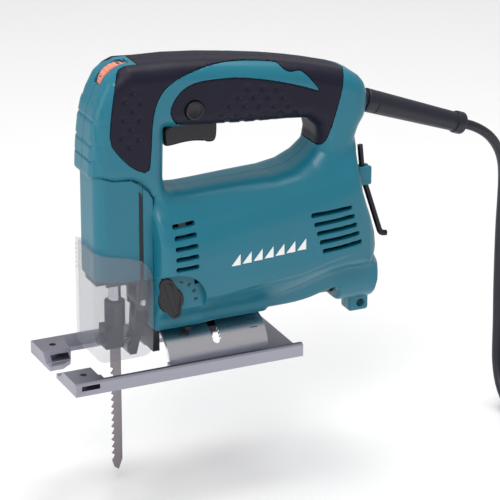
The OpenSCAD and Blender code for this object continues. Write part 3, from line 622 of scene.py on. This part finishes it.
def grip(side):
    """One half of the soft grip, with its rows of shallow dents."""
    dents = [(7.4, 183.9), (7.2, 172.5), (5.7, 161.2), (4.9, 149.7)]
    dents += [(2.1, 179), (12.5, 176.8), (1.2, 167.6), (11.7, 166.1), (-0.2, 156.3), (10.9, 154)]
    for k, count in enumerate((3, 4, 5, 6, 7)):
        dents += [(83.5 - 6.05 * k + 9.95 * i, 175.8 - 4.6 * k - 1.44 * i)
                  for i in range(count) if (k, i) != (4, 0)]

    def field(x, y, z):
        body = body_shape(x, y, z)
        out = smax(body, grip_edge(x, y, z), 0.9)
        out = np.maximum(out, -(body + 2.3))
        out = np.maximum(out, 0.06 - side * y)
        w = np.abs(y)
        inward = DENT_FLANK - w
        u, v = x - SLANT_X * inward, z + SLANT_Z * inward
        pits = np.full(np.broadcast(x, y, z).shape, 1e3)
        for px, pz in dents:
            pits = np.minimum(pits, (u - px) ** 2 + ((v - pz) * 1.15) ** 2)
        pits = np.sqrt(pits)
        depth = 0.85 * (1 - step01(pits, 0.9, 2.9)) * step01(w, 6, 10)
        out = np.maximum(out, body + depth)
        out = np.maximum(out, -np.maximum(cylinder(x, z, *DIAL_AT, 13.6), w - 4.6))
        if side < 0:
            out = np.maximum(out, -np.maximum(cylinder(x, z, *BUTTON_AT, 6.5), y + 10))
        return out
    return field


SHELL_CELL, GRIP_CELL = 1.1, 0.9
for side, word in ((-1, "left"), (1, "right")):
    near, far = (-33, 1.5) if side < 0 else (-1.5, 33)
    moulded("housing_shell_" + word, "housing", housing(side), (-23, near, 6), (178, far, 201), SHELL_CELL, TEAL,
            ("housing_" + word,), 0.45, 30)
    near, far = (-20.5, 1.2) if side < 0 else (-1.2, 20.5)
    moulded("soft_grip_" + word, "housing", grip(side), (-22, near, 127), (164, far, 201), GRIP_CELL, GRIP,
            ("grip_" + word,), 0.5, 34)

# ---------------------------------------------------------------- nose cover and guard

NOSE = [(-17.6, 60), (20.1, 57), (20.1, 110.2), (17, 115.2), (10.7, 121.3), (5.8, 124.3), (-6, 125.4),
        (-14, 128.4), (-17.6, 129.9)]
nose_line = Outline(NOSE, 0.3, pad=8)


def round_front(x, y, front, half, r):
    """Plan of a block with its two front corners rounded, open to the rear."""
    a, b = front + r - x, np.abs(y) - half + r
    return np.hypot(np.maximum(a, 0), np.maximum(b, 0)) + np.minimum(np.maximum(a, b), 0) - r


NOSE_LIFT = 2.4  # how far the cover reaches up under the housing, past its outline


def nose_cover(x, y, z):
    """The gear case's cover below the handle's nose, with a slot for the guard's track."""
    w = np.abs(y)
    out = smax(nose_line(x, z - NOSE_LIFT), round_front(x, y, -17.6, 16.2, 8), 0.8)
    out = smax(out, -round_front(x, y, -15.8, 14, 5), 0.3)
    out = smax(out, -np.maximum(slab(x, 10.6, 13.4), 14.95 - w), 0.3)
    return out


moulded("nose_cover_shell", "housing", nose_cover, (-19, -17.5, 55), (21.5, 17.5, 134), 0.75, TEAL,
        ("nose_cover",), 0.5, 30)

GUARD = [(-20.4, 80), (-20.4, 19), (-19.8, 13.5), (-17, 10.6), (-12, 10), (9, 10), (14, 10.5), (17.6, 13.8),
         (18.6, 19), (18.6, 58), (18.3, 64), (15.6, 69), (11, 74.5), (-5, 78.5), (-15, 81), (-20.4, 83.5)]
guard_line = Outline(curved(GUARD, 1), 0.4, pad=8)


def guard(x, y, z):
    """The clear guard: thin walls round the front and both sides, a rim along the top and ribs to grip."""
    w = np.abs(y)
    side = guard_line(x, z)
    plan = round_front(x, y, -20.4, 18.5, 6)
    outer = smax(side, plan, 0.6)
    out = smax(outer, -(plan + 1.8), 0.3)
    rim = np.maximum(smax(side, plan + 0.1, 0.3), -(side + 1.3))
    out = np.minimum(out, np.maximum(np.maximum(rim, -(plan + 2.3)), 60 - z))
    catch = np.maximum(slab(x, 11, 13), np.maximum(slab(w, 15.2, 17.5), slab(z, 62, 72)))
    out = np.minimum(out, catch)
    for i in range(6):
        rib = np.hypot(z - 65.5 - 3 * i, x + 20.0) - 1.0
        out = smin(out, np.maximum(rib, np.abs(y) - 11), 0.4)
    return out


moulded("blade_shield", "guard", guard, (-22.2, -19.6, 9), (19.6, 19.6, 85), 0.6, CLEAR,
        ("blade_guard",), 0.5, 30)

# A thin black sheet at the floor of the track in each side of the nose cover, that the guard's catches run in: painted
# shade for the deep, dark slot
TRACK_SHADE = [(10.75, 58), (13.25, 58), (13.25, 114.5), (12.6, 117), (10.75, 118.6)]
points, faces = [], []
for side in (-1, 1):
    base = len(points)
    for w in (14.9, 15.2):
        points += [(x, side * w, z) for x, z in TRACK_SHADE]
    n = len(TRACK_SHADE)
    faces.append(tuple(base + k for k in range(n)))
    faces.append(tuple(base + n + k for k in range(n))[::-1])
    faces += [(base + k, base + n + k, base + n + (k + 1) % n, base + (k + 1) % n) for k in range(n)]
tidy(piece("guard_track_shade", "housing", points, faces, BLACK))

# Setting marks in the recess beside the orbit lever: a square one, then three longer ones
RECESS_AT = (30, 45)
points, faces = [], []
for k, angle in enumerate((68, 46, 24, 2)):
    a = math.radians(angle)
    u, v = (math.cos(a), math.sin(a)), (-math.sin(a), math.cos(a))
    reach, wide = (2.4, 0.75) if k else (1.1, 1.1)
    base = len(points)
    for y0 in (-24.1, -24.62):
        for i, j in ((0, -1), (1, -1), (1, 1), (0, 1)):
            r, t = 13.4 + reach * i, wide * j
            points.append((RECESS_AT[0] + u[0] * r + v[0] * t, y0, RECESS_AT[1] + u[1] * r + v[1] * t))
    faces += [tuple(base + i for i in f) for f in BOX_FACES]
tidy(piece("orbit_marks", "housing", points, faces, INK))

# ---------------------------------------------------------------- controls

trigger_line = Outline(curved([(31.5, 158), (31.5, 143), (34, 141.2), (46, 142.8), (56, 142.2), (63.5, 139.7),
                               (66.8, 141.5), (67.5, 149), (67, 158)], 2), 0.2, 0.25, pad=6)
stem_line = Outline([(33, 156), (33, 163), (64, 163), (66, 156)], 0.2, 0.25, pad=6)


def trigger(x, y, z):
    """The trigger: a rounded lever with a narrow stem above it, hollow for its spring."""
    out = rounded(trigger_line(x, z), y, 8, 2.6)
    out = smax(out, z - 157, 0.4)
    out = np.minimum(out, np.maximum(stem_line(x, z), np.abs(y) - 5.5))
    out = np.maximum(out, 2.05 - np.hypot(x - 36, z - 159))
    out = np.maximum(out, -np.maximum(np.maximum(slab(x, 46, 62), np.abs(y) - 4.4), 150 - z))
    for i in range(5):  # finger ribs under the lip
        out = smax(out, -(np.hypot(x - 38 - 5.2 * i, z - 140.6) - 1.1), 0.5)
    return out


moulded("trigger_lever", "trigger", trigger, (30.5, -9, 138.5), (68.5, 9, 164), 0.5, BLACK,
        ("trigger",), 0.5, 34)


def cone_line(x, z, a, b, ra, rb):
    """A bar from a to b, seen flat, whose half width goes from ra to rb."""
    dx, dz = b[0] - a[0], b[1] - a[1]
    t = np.clip(((x - a[0]) * dx + (z - a[1]) * dz) / (dx * dx + dz * dz), 0, 1)
    return np.hypot(x - a[0] - t * dx, z - a[1] - t * dz) - (ra + (rb - ra) * t)


def lever(x, y, z):
    """The orbit lever: a leaf-shaped knob with a ridge along it, on a round boss."""
    flat = smin(cone_line(x, z, (29, 40.5), (26.5, 49), 4.2, 7.4),
                cone_line(x, z, (26.5, 49), (23.5, 59), 7.4, 4.6), 0.8)
    out = rounded(flat, y + 27.4, 1.6, 0.8)
    ridge = np.maximum(cone_line(x, z, (28.6, 42), (24.2, 58), 1.4, 2.2), np.abs(y + 28) - 0.95)
    out = np.maximum(out, -np.maximum(flat + 1.6, y + 28.5))
    out = smin(out, ridge, 0.5)
    out = np.minimum(out, np.maximum(cylinder(x, z, *ORBIT_AT, 5), slab(y, -26, -15)))
    return np.minimum(out, np.maximum(cylinder(x, z, *ORBIT_AT, 8), slab(y, -25.4, -22)))


moulded("orbit_knob", "orbit_lever", lever, (18, -30, 35), (37.5, -14, 65), 0.45, BLACK,
        ("orbit_lever",), 0.5, 34)


def lock(x, y, z):
    """The lock-on button, with a dished face and a collar that keeps it in."""
    r = np.hypot(x - BUTTON_AT[0], z - BUTTON_AT[1])
    out = smax(r - 6, slab(y, -20.4, -13.4), 0.9)
    dish = np.maximum(r - 4.4, y + 19.6 + 0.9 * (r / 4.4) ** 2 - 0.9)
    out = smax(out, -dish, 0.4)
    out = np.minimum(out, np.maximum(r - 7.4, slab(y, -13.4, -11.6)))
    return np.maximum(out, -np.maximum(r - 4.3, -17.4 - y))


moulded("lock_on_button", "lock_button", lock, (39, -21, 159), (55, -11, 175), 0.4, BLACK,
        ("lock_button",), 0.5, 34)


def lathe(name, body, profile, place, direction, finish, stands_for=(), around=64, angle=32, shape=None):
    """A turned piece: profile is (radius, distance) pairs along direction from place, closed at both ends."""
    direction = Vector(direction).normalized()
    side = direction.cross(Vector((0, 1, 0.001))).normalized()
    other = direction.cross(side)
    points, faces = [], []
    for r, d in profile:
        for k in range(around):
            a = 2 * math.pi * k / around
            rr = r * (shape(a, d) if shape else 1)
            points.append(Vector(place) + direction * d + side * (rr * math.cos(a)) + other * (rr * math.sin(a)))
    for i in range(len(profile) - 1):
        for k in range(around):
            n = (k + 1) % around
            faces.append((i * around + k, i * around + n, (i + 1) * around + n, (i + 1) * around + k))
    last = (len(profile) - 1) * around
    faces.append(tuple(range(around))[::-1])
    faces.append(tuple(last + k for k in range(around)))
    return piece(name, body, points, faces, finish, stands_for, angle)


def knurled(a, d):
    """Shallow notches round the dial's rim."""
    return 1 - 0.045 * max(0.0, math.cos(24 * a)) ** 4 * (1 if abs(d) < 3.1 else 0.4)


tidy(lathe("speed_wheel", "speed_dial",
           [(2.1, -3.6), (11.4, -3.6), (12.4, -3.1), (12.6, -2.4), (12.6, 2.4), (12.4, 3.1), (11.4, 3.6), (2.1, 3.6)],
           (DIAL_AT[0], 0, DIAL_AT[1]), (0, 1, 0), DIAL, ("speed_dial",), 288, 30, knurled))
# The dial's numbers as strokes (x0, z0, x1, z1) on a grid 2 wide and 4 high
NUMBERS = {1: [(0, 0, 0, 4)], 2: [(0, 4, 2, 4), (2, 4, 2, 2), (2, 2, 0, 2), (0, 2, 0, 0), (0, 0, 2, 0)],
           3: [(0, 4, 2, 4), (2, 4, 2, 0), (0, 2, 2, 2), (0, 0, 2, 0)],
           4: [(0, 4, 0, 2), (0, 2, 2, 2), (2, 4, 2, 0)],
           5: [(2, 4, 0, 4), (0, 4, 0, 2), (0, 2, 2, 2), (2, 2, 2, 0), (2, 0, 0, 0)]}
STROKE, NUMBER_SCALE = 0.3, 0.85
points, faces = [], []
for number, strokes in NUMBERS.items():
    centre = math.radians(150 - (number - 1) * 60)
    for x0, z0, x1, z1 in strokes:
        lo = (min(x0, x1) - STROKE, min(z0, z1) - STROKE)
        hi = (max(x0, x1) + STROKE, max(z0, z1) + STROKE)
        base = len(points)
        for lift in (12.2, 12.68):
            for across, high in ((lo[0], lo[1]), (hi[0], lo[1]), (hi[0], hi[1]), (lo[0], hi[1])):
                a = centre - (across - 1) * NUMBER_SCALE / 12.6
                points.append((DIAL_AT[0] + lift * math.cos(a), (high - 2) * NUMBER_SCALE,
                               DIAL_AT[1] + lift * math.sin(a)))
        faces += [tuple(base + i for i in f) for f in BOX_FACES]
tidy(piece("speed_numbers", "speed_dial", points, faces, INK))

# ---------------------------------------------------------------- blade

half_w, half_t, pitch, reach = 3.5, 0.6, 4.6, 73  # half width and thickness, tooth pitch, reach below the sole
count = int((reach - 8) // pitch)
tip = 5 - reach  # where the back edge starts to slant towards the point
front = [(-half_w, 25), (-half_w, -2)]
lean = [0, 0]  # each tooth is set to one side
for i in range(count):
    front += [(-half_w + 2.2, -2 - (i + 0.25) * pitch), (-half_w + 1.2, -2 - (i + 0.62) * pitch),
              (-half_w, -2 - (i + 0.95) * pitch)]
    lean += [0, 0.08 * (-1) ** i, 0.32 * (-1) ** i]
front += [(-half_w + 1.5, -reach + 2), (0.5, -reach)]
lean += [0, 0]
rows = []
for (x, z), over in zip(front, lean):
    inner = max(x + 0.2, min(-0.4, x + 2.4))
    near_back, back_edge = half_w - 0.3, half_w
    if z <= tip:
        near_back = max(inner + 0.2, half_w - 0.3 - (tip - z) * 0.55)
        back_edge = max(inner + 0.3, half_w - (tip - z) * 0.6)
    rows.append(((x, z, over, half_t * (0.55 if over else 0.95)), (inner, z, 0, half_t),
                 (near_back, z, 0, half_t), (back_edge, z, 0, half_t * 0.7)))
points, faces = [], []
for row in rows:
    for s in (-1, 1):
        points += [(x, over + s * t, z) for x, z, over, t in row]
for i in range(len(rows) - 1):
    for k in range(3):
        a, b = i * 8 + k, (i + 1) * 8 + k
        faces.append((a, a + 1, b + 1, b))
        faces.append((a + 4, b + 4, b + 5, a + 5))
    for k in (0, 3):
        a, b = i * 8 + k, (i + 1) * 8 + k
        faces.append((a, b, b + 4, a + 4) if k == 0 else (a, a + 4, b + 4, b))
for i in (0, len(rows) - 1):
    a = i * 8
    for k in range(3):
        faces.append((a + k, a + k + 4, a + k + 5, a + k + 1))
tidy(piece("saw_blade", "plunger", points, faces, BLADE, ("blade",), 20))

# ---------------------------------------------------------------- cord fittings

out_dir = (math.sin(CORD_GUARD_SLOPE), 0, math.cos(CORD_GUARD_SLOPE))
profile = [(5.5, -15), (8.0, -15), (8.2, -14.7), (8.2, -12.3), (8.0, -12), (6.2, -12), (6.2, -0.4), (7.4, -0.2),
           (7.7, 0.4)]
for i in range(22):  # a slow taper, with one groove near the housing
    d = 2 + i * 2.95
    r = 7.6 - 1.35 * d / 69
    deep = 0.0 if i != 1 else 0.4
    profile += [(r, d), (r, d + 1.9), (r - deep, d + 2.15), (r - deep, d + 2.7)]
profile += [(6.3, 67.6), (6.3, 68.6), (7.1, 69), (7.3, 69.6), (7.3, 74.3), (6.9, 75.0), (6.2, 75.2), (3.3, 75.2)]
tidy(lathe("strain_relief", "housing", profile, (CORD_GUARD_AT[0], 0, CORD_GUARD_AT[1]), out_dir, RUBBER,
           ("cord_guard",), 40, 40))


def plug(x, y, z):
    """The plug with its long axis along y from 0."""
    neck = np.hypot(x, z) - (4.6 + 2.4 * np.clip(y / 22, 0, 1))
    neck = np.maximum(neck, slab(y, 0, 24))
    for i in range(4):
        neck = np.maximum(neck, -np.maximum(np.abs(y - 5 - 4 * i) - 0.8, -(neck + 0.9)))
    grow = np.clip((y - 20) / 14, 0, 1)
    across = np.maximum(np.abs(x) - 6.5 * grow, 0)
    body = np.hypot(across, z) - (8 + 3.6 * grow)
    body = smax(body, slab(y, 20, 58), 1.6)
    for i in range(5):
        body = smax(body, -(np.hypot(y - 30 - 4 * i, np.hypot(across, z) - 12.6) - 1.5), 0.4)
    return smin(neck, body, 1.0)


def at_plug(x, y, z):
    """The plug where it lies."""
    return plug(x - PLUG[0], y - PLUG[1], z - PLUG[2])


mains_plug = moulded("mains_plug", "housing", at_plug, (331, -38.5, -73.2), (373, 22.5, -47), 0.9, RUBBER,
                     ("plug_body",), 0.5, 36)

# The tie: a flat band round one side of the coil
a = math.radians(250)
away = Vector((math.cos(a), math.sin(a), 0))
along = Vector((-math.sin(a), math.cos(a), 0))
centre = Vector((COIL[0], COIL[1], FLOOR_Z))
loop = []  # (radius, height) of its section and the way each point faces
r0, r1, z0, z1, fold = 19.2, 47.1, 0.05, 13.5, 1.5
for cx, cz, start in ((r1 - fold, z0 + fold, -90), (r1 - fold, z1 - fold, 0),
                      (r0 + fold, z1 - fold, 90), (r0 + fold, z0 + fold, 180)):
    for k in range(5):
        t = math.radians(start + 22.5 * k)
        loop.append((cx + fold * math.cos(t), cz + fold * math.sin(t), math.cos(t), math.sin(t)))
points, faces = [], []
widths = (-5.6, -5.2, -3.6, -1.2, 1.2, 3.6, 5.2, 5.6)
for inner in (0, 1):
    for r, z, nr, nz in loop:
        for k, w in enumerate(widths):
            thick = 0 if inner else -0.25 if k in (0, 7) else 0.0 if k in (2, 4) else -0.08
            shift = 0.85 if inner else -thick
            points.append(centre + away * (r - nr * shift) + along * w + Vector((0, 0, z - nz * shift)))
n, m = len(loop), len(widths)
for i in range(n):
    j = (i + 1) % n
    for k in range(m - 1):
        o = n * m
        faces.append((i * m + k, j * m + k, j * m + k + 1, i * m + k + 1))
        faces.append((o + i * m + k, o + i * m + k + 1, o + j * m + k + 1, o + j * m + k))
    faces.append((i * m, n * m + i * m, n * m + j * m, j * m))
    faces.append((i * m + m - 1, j * m + m - 1, n * m + j * m + m - 1, n * m + i * m + m - 1))
coil_tie = tidy(piece("coil_tie", "housing", points, faces, WEAVE, ("cord_tie",), 40))

# ---------------------------------------------------------------- hex key in its clip

key = smooth_route([(163.5, -12, 125), (164.6, -12, 114), (166, -12, 103), (169.5, -12, 92), (174, -12, 78),
                    (177.4, -12, 67.5), (178.6, -12, 64.4), (180.4, -12, 62.9), (183, -12, 62.5)], 4)
points, faces = [], []
for i, p in enumerate(key):
    h = (key[min(i + 1, len(key) - 1)] - key[max(i - 1, 0)]).normalized()
    u = Vector((0, 1, 0))
    v = h.cross(u)
    for k in range(6):
        for off in (-4, 4):
            t = math.radians(60 * k + off + 30)
            points.append(p + (u * math.cos(t) + v * math.sin(t)) * 1.9)
m = 12  # corners round the key: two at each of its six edges, so that they stay sharp
for i in range(len(key) - 1):
    for k in range(m):
        n = (k + 1) % m
        faces.append((i * m + k, i * m + n, (i + 1) * m + n, (i + 1) * m + k))
faces += [tuple(range(m))[::-1], tuple((len(key) - 1) * m + k for k in range(m))]
tidy(piece("hex_wrench", "housing", points, faces, DARK_STEEL, ("hex_key",), 25))


def clip(x, y, z):
    """The clip that holds the key: a block with an open groove."""
    out = block(x, y, z, (160.8, -16, 98.5), (170.4, -8, 111), 1.4)
    out = np.maximum(out, 2.05 - np.hypot(y + 12, (x - 164.9 - (111 - z) * 0.1)))
    mouth = np.maximum(np.abs(y + 12) - 1.5, 165.4 + (111 - z) * 0.1 - x)
    return np.maximum(out, -mouth)


moulded("wrench_clip", "housing", clip, (159.5, -17, 97), (171.5, -7, 112), 0.5, TEAL, (), 0.6, 34)

# ---------------------------------------------------------------- CAD nodes that stay

FINISHES = {  # material, and the width of its bevels in millimetres
    "side_badges": (WHITE, 0.12), "housing_screws": (DARK_STEEL, 0.35), "gear_housing": (SHADED_ALLOY, 0.6),
    "plunger_bushes": (BRONZE, 0.2), "bearing_bracket": (SHADED_ALLOY, 0.5), "gear_shaft": (STEEL, 0.3),
    "front_bearing": (CHROME, 0.3), "rear_bearing": (CHROME, 0.3), "stator": (LAMINATION, 0.4),
    "field_coils": (COPPER, 1.0), "brush_holders": (BRONZE, 0.4), "carbon_brushes": (CARBON, 0.3),
    "switch_body": (BLACK, 0.5), "speed_module": (BLACK, 0.5), "dust_duct": (BLACK, 0.5),
    "saddle_bolt": (DARK_STEEL, 0.3), "saddle_clamp": (DARK_STEEL, 0.5), "chip_deflector": (BLACK, 0.8),
    "arm_pin": (CHROME, 0.3), "cord_clamp": (BLACK, 0.6),
    "plug_pins": (CHROME, 0.7), "armature_shaft": (STEEL, 0.1), "armature_core": (LAMINATION, 0.3),
    "armature_windings": (COPPER, 1.0), "commutator": (COPPER, 0.2), "cooling_fan": (NYLON, 0.25),
    "crank_gear": (STEEL, 0.12), "gear_bush": (BRONZE, 0.2), "crank_pin": (CHROME, 0.3), "plunger": (CHROME, 0.4),
    "yoke": (SHADED_ALLOY, 0.5), "blade_clamp": (DARK_STEEL, 0.6), "clamp_screw": (DARK_STEEL, 0.35),
    "roller_arm": (DARK_STEEL, 0.35), "roller": (STEEL, 0.3),
    "trigger_spring": (CHROME, 0.15), "button_spring": (CHROME, 0.15),
    "shoe": (SHOE, 1.1), "shoe_saddle": (SADDLE, 0.5), "saddle_scale": (INK, 0.0),
}
for name, (finish, edge) in FINISHES.items():
    node = NODES[name]
    if not node.material_slots:
        node.data.materials.append(finish)
    for place in node.material_slots:
        place.material = finish
    if edge:
        round_off = node.modifiers.new("edges", "BEVEL")
        round_off.width = edge * MM
        round_off.segments = 2
        round_off.limit_method = "ANGLE"
        round_off.angle_limit = math.radians(35)
        round_off.use_clamp_overlap = True

# ---------------------------------------------------------------- floor and light

floor_mesh = bpy.data.meshes.new("floor")
corners = [(x, y, FLOOR_Z * MM) for x, y in ((-30, -30), (30, -30), (30, 30), (-30, 30))]
floor_mesh.from_pydata(corners, [], [(0, 1, 2, 3)])
floor = bpy.data.objects.new("floor", floor_mesh)
scene.collection.objects.link(floor)
PALE = material("pale_floor", (0.93, 0.93, 0.93, 1), 0.8, grain_scale=20, bump=0.0, spread=0.005, blotch=2)
floor_mesh.materials.append(PALE)

world = bpy.data.worlds.new("studio")
world.use_nodes = True
world.node_tree.nodes["Background"].inputs["Color"].default_value = (1, 1, 1, 1)
world.node_tree.nodes["Background"].inputs["Strength"].default_value = 0.5
scene.world = world
scene.view_settings.view_transform = "Standard"


def lamp(name, place, aim, size, watts, tall=None):
    """A soft lamp aimed at a point: size is its side, or its width where tall gives the height."""
    data = bpy.data.lights.new(name, "AREA")
    data.size = size
    if tall:
        data.shape, data.size_y = "RECTANGLE", tall
    data.energy = watts
    obj = bpy.data.objects.new(name, data)
    scene.collection.objects.link(obj)
    obj.location = place
    obj.rotation_mode = "QUATERNION"
    obj.rotation_quaternion = (Vector(aim) - Vector(place)).to_track_quat("-Z", "Y")


lamp("key_light", (-0.6, -0.9, 1.3), (0.07, 0, 0.08), 0.8, 12)
lamp("top_light", (0.3, 0.2, 1.5), (0.08, 0, 0.1), 0.9, 13)
lamp("side_light", (-1.4, 0.1, 0.5), (0.05, 0, 0.1), 0.6, 4, 1.2)
